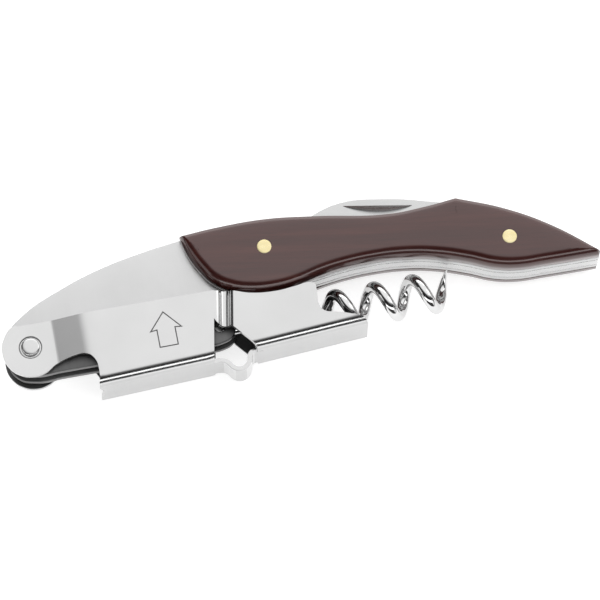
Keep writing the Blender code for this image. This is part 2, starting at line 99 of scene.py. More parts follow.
LEVER_RIVET_RADIUS = 1.6
COUNTERSINK_RADIUS = 2.35
COUNTERSINK_DEPTH = 0.55
STUD_HEIGHT = 0.72
SPACER_NOSE_RADIUS = 3.2
NOSE_RADIUS = 5.2
EAR_RADIUS = 5.8
EAR_HALF = 5.2
SHEET = 1.0                    # thickness of the lever's sheet
SCALE_ROUNDING = 2.4
SCALE_REACH = 0.22             # how much nearer to the liner the wood lies than in the CAD
SCALE_UNDERCUT = 0.3           # rounding of the edge that lies on the liner
BACK_RIM = 0.26                # breadth of the rim at the back, as a share of that at the belly
CROWN_WIDTH = 3.4              # the soft crown inside the back's rim
CROWN_DROP = 0.46
PIN_FIT = 0.01                 # visible gap round a brass pin in the wood
EDGE = 0.17                    # rounding of the edges of sheet and plate
SNUG = 0.06                    # visible gap round a pin
LINER_SEAM = 0.14              # visible seam between a liner and what it covers
CORE_FILL = 0.03               # how far the spacer and the spring reach into that seam

# Lever
STEP_FOOT = (-19.5, -11.1)
LEVER_TOP = 3.3
LEVER_END = 12.2
LEVER_SKIN = 0.02              # the finished faces lie this much inside the CAD's
TRIM_HALF = 9.0                # half depth of the cutters that trim the lever
BEND_RADIUS = 2.2
JOGGLE = (-50.5, -41.0)        # where the walls spread from the ears to their full width
GROOVE_X = -15.5
GROOVE_REACH = 2.0             # half the groove's width
GROOVE_DEPTH = 1.3
GROOVE_LEAN = 0.18             # X per Y: the groove leans like the edge of the window beside it
GROOVE_SHOULDER = 1.1          # radius of the groove's rims
GROOVE_LEVEL = -1.0            # the Y at which the leaning groove is at GROOVE_X
WINDOW_END = -10.6
TONGUE_X = -14.45
TONGUE_REACH = (4.2, 3.6)
TONGUE_DEPTH = 2.52
TONGUE_CREST = 2.1
TONGUE_HALF = 3.9
BITE_CENTRE = (-50.6, -11.2)   # the shallow round bite in the web's edge beside the cap lifter
BITE_RADIUS = 8.5
BITE_HALF = 2.4
INSIDE_FACING = 0.4            # how squarely an inside face looks at the channel's middle; such faces get painted shade
WEB_FACING = 0.9               # how squarely a face of the web looks down the Y axis; such faces get the darker web steel with painted shade
ARROW_X = -27.75
ARROW_LINE = 0.24              # breadth of the etched line
ARROW_DEPTH = 0.05
ARROW_RISE = 0.012             # the line stands this much above the wall, so that it shows

# Worm
WORM_WIRE = 1.2
WORM_COIL = 3.0
WORM_SPREAD = (11.0, 17.0)     # where the coil widens and its axis drops a little
WORM_GROWTH = 0.3
WORM_DROP = 0.2
WORM_PITCH = 7.9
WORM_TIP_X = 30.4
WORM_TURNS = 5.1
WORM_START = 0.55              # turns over which the wire leaves the axis
WORM_FLARE = (0.5, 0.9)        # the last turns, and how much wider the coil ends
WORM_TAPER = (0.27, 0.08)      # turns over which the tip sharpens, and its blunt end
HUB_RADIUS = 2.5
BEARING_RADIUS = 3.2

CURVE_DETAIL = 18
HOLE_SIDES = 64
MITRE_FROM = 0.2               # sine of the turn from which a corner is mitred
TABLE_GLOW = 0.74              # brightness of the floor, which is lit from below
MASK_EDGE = 0.0003             # half the soft edge of the painted shade on the liners, in metres
PAINTED_SHADE_CORNER = (-12.4, 2.4)  # left of and below it, the liners get painted shade: dark, duller steel for the shade under the lever
GRAIN_TURN = math.radians(9.0)  # the grain runs at a slight slant to the handle

# Outlines: "s" is a point on a smooth stretch and "c" a corner
BACK_LINE = [
    (-59.2, 3.0, "s"), (-55.0, 6.75, "s"), (-47.0, 10.45, "s"), (-38.9, 13.1, "s"), (-28.8, 15.1, "s"),
]
SCALE_BACK = [
    (-21.7, 16.05, "c"), (-14.0, 16.5, "s"), (-4.0, 16.4, "s"), (6.0, 15.1, "s"), (20.5, 12.75, "s"),
    (28.0, 12.85, "s"), (34.5, 13.45, "c"), (44.0, 9.35, "s"), (52.5, 4.1, "s"), (TAIL_X, -3.0, "c"),
]
BELLY_LINE = [
    (60.6, -3.6, "c"), (50.0, -3.4, "s"), (43.8, -3.15, "s"), (39.6, -2.2, "s"), (34.2, 0.1, "s"),
    (28.0, 2.2, "s"), (22.0, 3.4, "s"), (16.0, 3.8, "s"), (10.0, 3.6, "s"),
]
SCALE_FRONT = [
    (5.0, 2.95, "s"), (0.3, 1.85, "s"), (-4.5, 1.35, "s"), (-9.5, 1.8, "s"), (-13.5, 3.1, "s"),
    (-16.8, 5.3, "s"), (-19.1, 8.6, "s"), (-20.8, 12.3, "s"),
]


def place(x, y, z=0.0):
    """A point of the drawing, in metres, in the frame."""
    return PIVOT_POINT + Vector((x - LEVER_PIVOT[0], y - LEVER_PIVOT[1], z)) * MM


# ---------------------------------------------------------------- shapes

def outline_loop(points, detail=CURVE_DETAIL):
    """The outline's points along its smooth stretches and corners, anticlockwise, as rows of x, y."""
    curve = bpy.data.curves.new("outline", "CURVE")
    curve.dimensions = "2D"
    curve.fill_mode = "NONE"
    curve.resolution_u = detail
    spline = curve.splines.new("BEZIER")
    spline.bezier_points.add(len(points) - 1)
    spline.use_cyclic_u = True
    for point, (x, y, kind) in zip(spline.bezier_points, points):
        point.co = (x, y, 0.0)
        handle = "VECTOR" if kind == "c" else "AUTO"
        point.handle_left_type = handle
        point.handle_right_type = handle
    obj = bpy.data.objects.new("outline", curve)
    bpy.context.scene.collection.objects.link(obj)
    bpy.context.view_layer.update()
    mesh = bpy.data.meshes.new_from_object(obj.evaluated_get(bpy.context.evaluated_depsgraph_get()))
    loop = np.array([v.co[:2] for v in mesh.vertices])
    bpy.data.objects.remove(obj)
    bpy.data.meshes.remove(mesh)
    keep = np.linalg.norm(loop - np.roll(loop, 1, axis=0), axis=1) > 1e-4
    loop = loop[keep]
    turned = np.roll(loop, -1, axis=0)
    area = np.sum(loop[:, 0] * turned[:, 1] - turned[:, 0] * loop[:, 1])
    return loop if area > 0 else loop[::-1]


def circle_loop(centre, radius, sides=HOLE_SIDES):
    angles = np.linspace(0, 2 * math.pi, sides, endpoint=False)
    return np.column_stack([centre[0] + radius * np.cos(angles), centre[1] + radius * np.sin(angles)])


def edge_normals(loop):
    """The unit normal of each side of the loop, pointing inwards."""
    side = np.roll(loop, -1, axis=0) - loop
    side /= np.linalg.norm(side, axis=1)[:, None]
    return np.column_stack([-side[:, 1], side[:, 0]])


def insets_clear(points, loop, insets):
    """Which points keep each side's inset from that side of the loop."""
    start = loop[None, :, :]
    side = np.roll(loop, -1, axis=0)[None, :, :] - start
    offset = points[:, None, :] - start
    along = np.clip((offset * side).sum(2) / np.maximum((side ** 2).sum(2), 1e-12), 0, 1)
    distance = np.linalg.norm(offset - along[..., None] * side, axis=2)
    return (distance / insets[None, :]).min(1) > 0.97


def line_meeting(point, along, other, other_along):
    """Where two lines cross, or half way between their points where they are nearly parallel."""
    cross = along[0] * other_along[1] - along[1] * other_along[0]
    gap = other - point
    if abs(cross) < 0.05:
        return point + gap / 2
    reach = (gap[0] * other_along[1] - gap[1] * other_along[0]) / cross
    return point + along * np.clip(reach, -2 * np.linalg.norm(gap), 2 * np.linalg.norm(gap))


def inset_loop(loop, inset):
    """The loop moved inwards, with as many points and mitred corners. The inset may differ by side.

    Points that a corner leaves no room for gather where the sides beyond them meet."""
    insets = np.broadcast_to(np.asarray(inset, dtype=float), (len(loop),))
    if insets.max() < 1e-6:
        return loop.copy()
    insets = np.maximum(insets, 1e-5)
    ahead = edge_normals(loop)
    behind = np.roll(ahead, 1, axis=0)
    ahead_inset, behind_inset = insets, np.roll(insets, 1)
    cross = behind[:, 0] * ahead[:, 1] - behind[:, 1] * ahead[:, 0]
    middle = (ahead + behind) / np.linalg.norm(ahead + behind, axis=1)[:, None]
    smooth = middle * ((ahead_inset + behind_inset) / 2)[:, None]
    corner = np.abs(cross) > MITRE_FROM
    safe = np.where(corner, cross, 1.0)
    mitre = np.column_stack([behind_inset * ahead[:, 1] - ahead_inset * behind[:, 1],
                             ahead_inset * behind[:, 0] - behind_inset * ahead[:, 0]]) / safe[:, None]
    moved = loop + np.where(corner[:, None], mitre, smooth)
    valid = insets_clear(moved, loop, insets)
    if valid.all():
        return moved
    count = len(loop)
    first = int(np.argmax(valid))
    i = first
    while i < first + count:
        if valid[i % count]:
            i += 1
            continue
        end = i
        while not valid[end % count]:
            end += 1
        last, following = (i - 1) % count, end % count
        along = loop[i % count] - loop[last]
        back = loop[following] - loop[(end - 1) % count]
        meeting = line_meeting(moved[last], along / np.linalg.norm(along),
                               moved[following], back / np.linalg.norm(back))
        for k in range(i, end):
            moved[k % count] = meeting
        i = end
    return moved


def join_rings(work, rings):
    """Faces between each ring of vertices and the next."""
    for ring, following in zip(rings, rings[1:]):
        for i in range(len(ring)):
            k = (i + 1) % len(ring)
            work.faces.new((ring[i], ring[k], following[k], following[i]))


def capped_loft(name, rings_of):
    """A closed piece through rings of points, with a face over each end."""
    work = bmesh.new()
    rings = [[work.verts.new(place(*point)) for point in ring] for ring in rings_of]
    join_rings(work, rings)
    work.faces.new(rings[0])
    work.faces.new(rings[-1])
    bmesh.ops.recalc_face_normals(work, faces=work.faces)
    return mesh_object(name, work)


def both_halves(half):
    """A turned profile and its mirror image below the middle plane."""
    return half + [(radius, -z) for radius, z in reversed(half)]


def plate(name, outline, holes, levels):
    """A closed plate. levels are (z, inset) from bottom to top, and holes are (centre, radius).

    An inset is one number, or one for each side of the outline. The holes keep straight sides."""
    work = bmesh.new()
    rings = []
    for z, inset in levels:
        loops = [inset_loop(outline, inset)]
        loops += [circle_loop(centre, radius)[::-1] for centre, radius in holes]
        rings.append([[work.verts.new(place(x, y, z)) for x, y in loop] for loop in loops])
    for lower, upper in zip(rings, rings[1:]):
        for low_loop, high_loop in zip(lower, upper):
            join_rings(work, (low_loop, high_loop))
    bmesh.ops.remove_doubles(work, verts=work.verts, dist=2e-7)
    for z, _ in (levels[0], levels[-1]):
        level = place(0, 0, z).z
        rim = [e for e in work.edges if e.is_boundary and all(abs(v.co.z - level) < 1e-7 for v in e.verts)]
        bmesh.ops.triangle_fill(work, use_beauty=True, edges=rim, normal=(0, 0, 1))
    bmesh.ops.recalc_face_normals(work, faces=work.faces)
    return mesh_object(name, work)


def mesh_object(name, work, sharp=40):
    """A mesh object from a finished bmesh, shaded smooth up to the sharp angle."""
    mesh = bpy.data.meshes.new(name)
    work.to_mesh(mesh)
    work.free()
    mesh.shade_smooth()
    mesh.set_sharp_from_angle(angle=math.radians(sharp))
    obj = bpy.data.objects.new(name, mesh)
    bpy.context.scene.collection.objects.link(obj)
    return obj


def rounded_levels(low, high, lower_radius, upper_radius, steps):
    """Levels of a plate whose two rims are rounded off."""
    angles = [math.pi / 2 * i / steps for i in range(steps + 1)]
    lower = [(low + lower_radius * (1 - math.sin(a)), lower_radius * (1 - math.cos(a)))
             for a in reversed(angles)]
    upper = [(high - upper_radius * (1 - math.sin(a)), upper_radius * (1 - math.cos(a))) for a in angles]
    return lower + upper


def flat_levels(low, high, edge=EDGE):
    return rounded_levels(low, high, edge, edge, 3)


def turned(name, profile, centre, steps=HOLE_SIDES):
    """A closed turned piece along Z. The profile is (radius, z) from its top to its bottom."""
    work = bmesh.new()
    rows = []
    for i in range(steps):
        angle = 2 * math.pi * i / steps
        rows.append([work.verts.new(place(centre[0] + r * math.cos(angle),
                                          centre[1] + r * math.sin(angle), z)) for r, z in profile])
    for i in range(steps):
        row, following = rows[i], rows[(i + 1) % steps]
        for k in range(len(profile) - 1):
            work.faces.new((row[k], row[k + 1], following[k + 1], following[k]))
    bmesh.ops.remove_doubles(work, verts=work.verts, dist=1e-7)
    bmesh.ops.recalc_face_normals(work, faces=work.faces)
    return mesh_object(name, work)


def tube(name, route, sides=28):
    """A round wire along route, whose rows are x, y, z and radius. Its ends are closed flat."""
    points = np.array([row[:3] for row in route])
    heading = np.gradient(points, axis=0)
    heading /= np.linalg.norm(heading, axis=1)[:, None]
    side = np.cross(heading[0], (0.0, 0.0, 1.0))
    work = bmesh.new()
    rings = []
    for centre, ahead, row in zip(points, heading, route):
        side = side - ahead * np.dot(side, ahead)
        side /= np.linalg.norm(side)
        up = np.cross(ahead, side)
        ring = []
        for i in range(sides):
            angle = 2 * math.pi * i / sides
            spot = centre + row[3] * (math.cos(angle) * side + math.sin(angle) * up)
            ring.append(work.verts.new(place(*spot)))
        rings.append(ring)
    join_rings(work, rings)
    for ring, centre in ((rings[0], points[0]), (rings[-1], points[-1])):
        middle = work.verts.new(place(*centre))
        for i in range(sides):
            work.faces.new((ring[i], ring[(i + 1) % sides], middle))
    bmesh.ops.recalc_face_normals(work, faces=work.faces)
    return mesh_object(name, work)


def combine(obj, other, operation):
    """Boolean with a piece that is then removed."""
    modifier = obj.modifiers.new(operation.lower(), "BOOLEAN")
    modifier.operation = operation
    modifier.solver = "EXACT"
    modifier.object = other
    apply_modifiers(obj)
    bpy.data.objects.remove(other)
    return obj


def apply_modifiers(obj):
    """Replace the object's mesh by what its modifiers make of it."""
    bpy.context.view_layer.update()
    mesh = bpy.data.meshes.new_from_object(obj.evaluated_get(bpy.context.evaluated_depsgraph_get()))
    obj.modifiers.clear()
    obj.data = mesh


def soften(obj, width, sharp=40, segments=2):
    """Round off the sharp edges of a cut piece."""
    bevel = obj.modifiers.new("edges", "BEVEL")
    bevel.width = width * MM
    bevel.segments = segments
    bevel.limit_method = "ANGLE"
    bevel.angle_limit = math.radians(sharp)
    bevel.use_clamp_overlap = True
    bevel.harden_normals = False
    bevel.miter_outer = "MITER_ARC"
    apply_modifiers(obj)
    obj.data.shade_smooth()
    obj.data.set_sharp_from_angle(angle=math.radians(50))
    weight = obj.modifiers.new("flat_faces", "WEIGHTED_NORMAL")
    weight.mode = "FACE_AREA"
    weight.weight = 90
    weight.keep_sharp = True
    apply_modifiers(obj)
    return obj


def ease(t):
    """0 before t = 0, 1 after t = 1, and a smooth bend between."""
    t = min(1.0, max(0.0, t))
    return t * t * (3 - 2 * t)


# ---------------------------------------------------------------- materials

def new_material(name):
    material = bpy.data.materials.new(name)
    material.use_nodes = True
    nodes = material.node_tree.nodes
    return material, nodes, material.node_tree.links, nodes["Principled BSDF"]


def stretched_noise(nodes, links, stretch, scale, detail=4.0, rough=0.6, turn=0.0):
    """Noise in the object's own coordinates, drawn out along the axis with the smallest stretch."""
    place_node = nodes.new("ShaderNodeTexCoord")
    mapping = nodes.new("ShaderNodeMapping")
    mapping.vector_type = "POINT"
    mapping.inputs["Scale"].default_value = stretch
    turning = nodes.new("ShaderNodeVectorRotate")
    turning.rotation_type = "Z_AXIS"
    turning.inputs["Angle"].default_value = turn
    noise = nodes.new("ShaderNodeTexNoise")
    noise.inputs["Scale"].default_value = scale
    noise.inputs["Detail"].default_value = detail
    noise.inputs["Roughness"].default_value = rough
    links.new(place_node.outputs["Object"], turning.inputs["Vector"])
    links.new(turning.outputs["Vector"], mapping.inputs["Vector"])
    links.new(mapping.outputs["Vector"], noise.inputs["Vector"])
    return noise.outputs["Fac"]


def ramp(nodes, links, value, stops):
    node = nodes.new("ShaderNodeValToRGB")
    elements = node.color_ramp.elements
    while len(elements) < len(stops):
        elements.new(0.5)
    for element, (position, colour) in zip(elements, stops):
        element.position = position
        element.color = (*colour, 1.0)
    links.new(value, node.inputs["Fac"])
    return node.outputs["Color"]


def grey(value):
    return (value, value, value)


def add_bump(nodes, links, shader, height, strength, distance):
    bump = nodes.new("ShaderNodeBump")
    bump.inputs["Strength"].default_value = strength
    bump.inputs["Distance"].default_value = distance
    links.new(height, bump.inputs["Height"])
    links.new(bump.outputs["Normal"], shader.inputs["Normal"])


def below(nodes, links, coordinate, limit):
    """1 where a coordinate is under its limit, and 0 over it, with a narrow soft edge."""
    node = nodes.new("ShaderNodeMapRange")
    node.interpolation_type = "SMOOTHSTEP"
    node.inputs["From Min"].default_value = limit - MASK_EDGE
    node.inputs["From Max"].default_value = limit + MASK_EDGE
    node.inputs["To Min"].default_value = 1.0
    node.inputs["To Max"].default_value = 0.0
    links.new(coordinate, node.inputs["Value"])
    return node.outputs["Result"]


def painted_shade_part(nodes, links, corner, finished, painted_shade):
    """One colour over the polished face, and a painted shade colour left of and below a corner of it."""
    where = nodes.new("ShaderNodeTexCoord")
    split = nodes.new("ShaderNodeSeparateXYZ")
    links.new(where.outputs["Object"], split.inputs["Vector"])
    mask = nodes.new("ShaderNodeMath")
    mask.operation = "MULTIPLY"
    links.new(below(nodes, links, split.outputs["X"], corner.x), mask.inputs[0])
    links.new(below(nodes, links, split.outputs["Y"], corner.y), mask.inputs[1])
    mix = nodes.new("ShaderNodeMix")
    mix.data_type = "RGBA"
    links.new(mask.outputs["Value"], mix.inputs["Factor"])
    links.new(finished, mix.inputs["A"])
    links.new(painted_shade, mix.inputs["B"])
    return mix.outputs["Result"]


def satin_steel(name, stretch, base=0.57, rough=(0.21, 0.27), strength=0.035, shade_corner=None):
    """Stainless sheet with a fine linished grain across the stretched axis.

    Left of and below the given corner, the part gets painted shade: darker, duller steel for the shade where
    the lever covers it."""
    material, nodes, links, shader = new_material(name)
    shader.inputs["Metallic"].default_value = 1.0
    tint = stretched_noise(nodes, links, (1, 1, 1), 90, 3)
    colour = ramp(nodes, links, tint, [(0.3, grey(base * 0.965)), (0.7, grey(base * 1.02))])
    grain = stretched_noise(nodes, links, stretch, 1.0, 5, 0.65)
    gloss = ramp(nodes, links, grain, [(0.3, grey(rough[0])), (0.72, grey(rough[1]))])
    # painted shade: dark, duller steel left of and below the corner, standing in for shade where the lever
    # covers the part
    if shade_corner:
        painted_shade_colour = ramp(nodes, links, tint, [(0.3, grey(0.14)), (0.7, grey(0.19))])
        colour = painted_shade_part(nodes, links, shade_corner, colour, painted_shade_colour)
        coarse = ramp(nodes, links, grain, [(0.3, grey(0.38)), (0.72, grey(0.46))])
        gloss = painted_shade_part(nodes, links, shade_corner, gloss, coarse)
    links.new(colour, shader.inputs["Base Color"])
    links.new(gloss, shader.inputs["Roughness"])
    add_bump(nodes, links, shader, grain, strength, 0.00002)
    return material


def polished_steel(name, base=0.66):
    """Bright steel with faint wear in its gloss."""
    material, nodes, links, shader = new_material(name)
    shader.inputs["Metallic"].default_value = 1.0
    tint = stretched_noise(nodes, links, (1, 1, 1), 160, 3)
    links.new(ramp(nodes, links, tint, [(0.3, grey(base * 0.97)), (0.7, grey(base * 1.02))]),
              shader.inputs["Base Color"])
    wear = stretched_noise(nodes, links, (1, 1, 1), 420, 4)
    links.new(ramp(nodes, links, wear, [(0.35, grey(0.05)), (0.75, grey(0.13))]),
              shader.inputs["Roughness"])
    return material


def brass(name):
    material, nodes, links, shader = new_material(name)
    shader.inputs["Metallic"].default_value = 1.0
    tint = stretched_noise(nodes, links, (1, 1, 1), 500, 4)
    links.new(ramp(nodes, links, tint, [(0.3, (0.74, 0.64, 0.35)), (0.7, (0.82, 0.73, 0.45))]),
              shader.inputs["Base Color"])
    wear = stretched_noise(nodes, links, (300, 2400, 2400), 1.0, 4)
    links.new(ramp(nodes, links, wear, [(0.3, grey(0.22)), (0.7, grey(0.36))]),
              shader.inputs["Roughness"])
    return material


def lacquered_wood(name):
    """Dark red-brown hardwood: quiet long grain, fine pores, and a clear gloss coat."""
    material, nodes, links, shader = new_material(name)
    bands = stretched_noise(nodes, links, (26, 620, 620), 1.0, 4, 0.55, GRAIN_TURN)
    colour = ramp(nodes, links, bands, [
        (0.25, (0.019, 0.0028, 0.0019)), (0.50, (0.030, 0.0046, 0.0032)),
        (0.75, (0.045, 0.0095, 0.0065))])
    pores = stretched_noise(nodes, links, (110, 3200, 3200), 1.0, 3, 0.7, GRAIN_TURN)
    dark = ramp(nodes, links, pores, [(0.34, grey(0.55)), (0.47, grey(1.0))])
    mix = nodes.new("ShaderNodeMix")
    mix.data_type = "RGBA"
    mix.blend_type = "MULTIPLY"
    mix.inputs["Factor"].default_value = 0.6
    links.new(colour, mix.inputs["A"])
    links.new(dark, mix.inputs["B"])
    links.new(mix.outputs["Result"], shader.inputs["Base Color"])
    links.new(ramp(nodes, links, pores, [(0.3, grey(0.40)), (0.6, grey(0.30))]),
              shader.inputs["Roughness"])
    shader.inputs["Coat Weight"].default_value = 1.0
    shader.inputs["Coat Roughness"].default_value = 0.10
    shader.inputs["Coat IOR"].default_value = 1.54
    shader.inputs["Specular IOR Level"].default_value = 0.5
    shader.inputs["Specular Tint"].default_value = (1.0, 0.68, 0.66, 1.0)
    add_bump(nodes, links, shader, pores, 0.06, 0.00003)
    return material


def engraving(name):
    """The dull grey floor of an etched line."""
    material, nodes, links, shader = new_material(name)
    tone = stretched_noise(nodes, links, (1, 1, 1), 1500, 3)
    links.new(ramp(nodes, links, tone, [(0.3, grey(0.07)), (0.7, grey(0.16))]),
              shader.inputs["Base Color"])
    shader.inputs["Roughness"].default_value = 0.7
    shader.inputs["Metallic"].default_value = 0.3
    return material


def light_table(name):
    """Pale acrylic that is lit from below, so that the object stands on clean white."""
    material, nodes, links, shader = new_material(name)
    tone = stretched_noise(nodes, links, (1, 1, 1), 6, 2)
    links.new(ramp(nodes, links, tone, [(0.3, grey(0.55)), (0.7, grey(0.58))]),
              shader.inputs["Base Color"])
    shader.inputs["Roughness"].default_value = 0.9
    shader.inputs["Specular IOR Level"].default_value = 0.1
    shader.inputs["Emission Color"].default_value = (1.0, 1.0, 1.0, 1.0)
    shader.inputs["Emission Strength"].default_value = TABLE_GLOW
    return material


# the liners get painted shade, dark dull steel, where the lever covers them
STEEL = satin_steel("satin_steel", (2600, 70, 70), rough=(0.29, 0.36), strength=0.05,
                    shade_corner=place(*PAINTED_SHADE_CORNER))
STEEL_LEVER = satin_steel("satin_steel_lever", (5200, 90, 90), base=0.60, rough=(0.15, 0.19), strength=0.06)
# the web steel is rougher than the lever's, and its darker base is painted shade for the shadowed floor the
# web mirrors
STEEL_WEB_SHADED = satin_steel("satin_steel_web_painted_shade", (2600, 70, 70), base=0.52, strength=0.04)
# painted shade: near-black dull steel for the lever's inside faces, standing in for the shade inside the
# channel
STEEL_SHADED_INSIDE = satin_steel("painted_shade_inside_steel", (900, 900, 900), base=0.13, rough=(0.42, 0.55))
STEEL_EDGE = satin_steel("linished_steel", (90, 2400, 2400), base=0.60)
STEEL_BLADE = satin_steel("ground_blade_steel", (90, 1900, 1900), base=0.55, rough=(0.19, 0.23), strength=0.02)
POLISHED = polished_steel("polished_steel")
BRASS = brass("brass")
WOOD = lacquered_wood("dark_lacquered_wood")
ETCH = engraving("etched_line")
FLOOR = light_table("light_table")


def dress(obj, material, body, slot, *nodes):
    """Give a piece its material and its body, and hide the CAD nodes it stands for. The slot is not used."""
    obj.data.materials.clear()
    obj.data.materials.append(material)
    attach(obj, body)
    if nodes:
        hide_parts(*nodes)
    return obj


# ---------------------------------------------------------------- handle

def core_outline():
    """Outline of the steel liners: round nose, back, tail, belly and the worm's bearing."""
    px, py = EAR_CENTRE
    nose = [(px + NOSE_RADIUS * math.cos(a), py + NOSE_RADIUS * math.sin(a), "s")
            for a in (math.radians(270), math.radians(225), math.radians(180))]
    wx, wy = WORM_PIVOT
    bearing = [(wx + BEARING_RADIUS * math.cos(a), wy + BEARING_RADIUS * math.sin(a), "s")
               for a in (0.0, math.radians(-45))]
    inner = [(4.0, 2.9, "s"), (-2.5, 2.3, "s"), (-9.0, 2.4, "s"), (-12.3, 1.2, "s"), (-13.6, -1.2, "s")]
    foot = [(wx, wy - BEARING_RADIUS - 0.05, "s"), (wx - 4.0, wy - BEARING_RADIUS - 0.1, "c"),
            (px + 5.0, py - NOSE_RADIUS, "c")]
    return nose + BACK_LINE + SCALE_BACK + BELLY_LINE + inner + bearing + foot


def make_liners():
    outline = outline_loop(core_outline())
    holes = [(LEVER_PIVOT, LEVER_RIVET_RADIUS + SNUG), (WORM_PIVOT, WORM_PIN_RADIUS + SNUG),
             (FRONT_PIN, SCALE_PIN_RADIUS + SNUG), (BLADE_PIVOT, SCALE_PIN_RADIUS + SNUG)]
    holes += [(centre, SPRING_PIN_RADIUS + SNUG) for centre in SPRING_PINS.values()]
    for label, side in (("near", 1), ("far", -1)):
        low, high = sorted((side * (SPRING_HALF + LINER_SEAM), side * LINER_OUT))
        liner = plate(f"{label}_liner_plate", outline, holes, flat_levels(low, high))
        dress(liner, STEEL, "handle", "steel", f"{label}_liner")


def belly_share(outline):
    """1 for each side of the outline that faces the belly, 0 for one that faces the back."""
    facing = -edge_normals(outline)[:, 1]
    return np.array([ease((0.35 - y) / 0.8) for y in facing])


def scale_levels(outline, inner, outer):
    """From the face on the liner to the outer face: a full round at the belly, a soft crown at the back."""
    belly = belly_share(outline)
    levels = []
    for z, inset in rounded_levels(0.0, outer - inner, SCALE_UNDERCUT, SCALE_ROUNDING, 14):
        drop = outer - inner - z
        if drop < SCALE_ROUNDING:
            crown = CROWN_WIDTH * max(0.0, 1 - math.sqrt(drop / CROWN_DROP))
            inset = belly * inset + (1 - belly) * (BACK_RIM * inset + crown)
        levels.append((inner + z, inset))
    return levels


def make_scales():
    outline = outline_loop(SCALE_BACK + BELLY_LINE + SCALE_FRONT)
    holes = [(FRONT_PIN, SCALE_PIN_RADIUS + PIN_FIT), (BLADE_PIVOT, SCALE_PIN_RADIUS + PIN_FIT)]
    levels = scale_levels(outline, SCALE_IN - SCALE_REACH, SCALE_OUT)
    for label, side in (("near", levels), ("far", [(-z, inset) for z, inset in reversed(levels)])):
        scale = plate(f"{label}_wood_scale", outline, holes, side)
        dress(scale, WOOD, "handle", "wood", f"{label}_scale")


def make_front_spacer():
    """The block between the liners, set back from the nose and belly."""
    px, py = LEVER_PIVOT
    wx, wy = WORM_PIVOT
    room = HUB_RADIUS + 0.8
    pocket = [(wx + room * math.cos(math.radians(a)), wy + room * math.sin(math.radians(a)), "s")
              for a in (45, 90, 135, 180)]
    nose = [(px + SPACER_NOSE_RADIUS * math.cos(a), py + SPACER_NOSE_RADIUS * math.sin(a), "s")
            for a in (math.radians(270), math.radians(225), math.radians(180))]
    back = [(-57.4, 2.4, "s"), (-54.0, 5.8, "s"), (-46.9, 10.05, "s"), (-38.8, 12.85, "s"),
            (-28.8, 14.85, "s"), (-14.0, 16.0, "s"), (-4.5, 15.9, "s"), (-1.2, 15.4, "c")]
    end = [(-1.6, 6.3, "c"), (-10.2, 5.4, "c"), (-12.6, 2.6, "s")]
    foot = [(wx - 4.2, py - SPACER_NOSE_RADIUS, "c"), (px + 2.5, py - SPACER_NOSE_RADIUS, "c")]
    outline = outline_loop(nose + back + end + pocket + foot)
    holes = [(LEVER_PIVOT, LEVER_RIVET_RADIUS + SNUG), (FRONT_PIN, SCALE_PIN_RADIUS + SNUG)]
    half = SPRING_HALF + CORE_FILL
    spacer = plate("front_spacer_block", outline, holes, flat_levels(-half, half, 0.1))
    dress(spacer, STEEL_EDGE, "handle", "steel", "front_spacer")


def make_backspring():
    top = [(-9.8, 5.0, "c"), (4.0, 5.9, "s"), (16.0, 6.6, "s"), (22.0, 6.2, "s"), (28.0, 4.9, "s"),
           (34.2, 2.6, "s"), (39.5, 0.2, "s"), (43.5, -1.15, "s"), (50.0, -0.7, "s"), (55.0, -0.9, "s"),
           (TAIL_X - 1.9, -1.8, "c"), (TAIL_X, -3.0, "c")]
    under = [(4.0, 2.9, "s"), (-2.5, 2.3, "s"), (-9.0, 2.4, "s"), (-10.6, 2.5, "c")]
    outline = outline_loop(top + BELLY_LINE + under)
    holes = [(centre, SPRING_PIN_RADIUS + SNUG) for centre in SPRING_PINS.values()]
    half = SPRING_HALF + CORE_FILL
    spring = plate("backspring_strip", outline, holes, flat_levels(-half, half, 0.1))
    dress(spring, STEEL_EDGE, "handle", "steel", "backspring")


def make_pins():
    """Brass pins through the scales, with a slightly domed end, and the plain steel pins inside."""
    r, top = SCALE_PIN_RADIUS, SCALE_OUT
    half = [(0.0, top), (r * 0.6, top - 0.004), (r * 0.93, top - 0.012), (r, top - 0.05)]
    profile = both_halves(half)
    for name, centre in (("front_scale_pin", FRONT_PIN), ("blade_pivot_pin", BLADE_PIVOT)):
        dress(turned(f"{name}_brass", profile, centre), BRASS, "handle", "brass", name)
    steel_pins = [(f"spring_pin_{label}", centre, SPRING_PIN_RADIUS)
                  for label, centre in SPRING_PINS.items()]
    steel_pins.append(("worm_pivot_pin", WORM_PIVOT, WORM_PIN_RADIUS))
    for name, centre, radius in steel_pins:
        half = [(0.0, LINER_OUT), (radius - 0.1, LINER_OUT), (radius, LINER_OUT - 0.1)]
        dress(turned(f"{name}_steel", both_halves(half), centre, 32), STEEL_EDGE, "handle", "steel", name)


def make_washers():
    for group, centre, bore in (("lever", LEVER_PIVOT, LEVER_RIVET_RADIUS + SNUG),
                                ("blade", BLADE_PIVOT, SCALE_PIN_RADIUS + SNUG)):
        for label in ("near", "far"):
            node = f"{group}_washer_{label}"
            low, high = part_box(node)
            z_low = (low.z - PIVOT_POINT.z) / MM
            z_high = (high.z - PIVOT_POINT.z) / MM
            outer = circle_loop(centre, node_size(node).x / 2)
            washer = plate(f"{node}_ring", outer, [(centre, bore)], flat_levels(z_low, z_high, 0.08))
            dress(washer, BRASS, "handle", "brass", node)


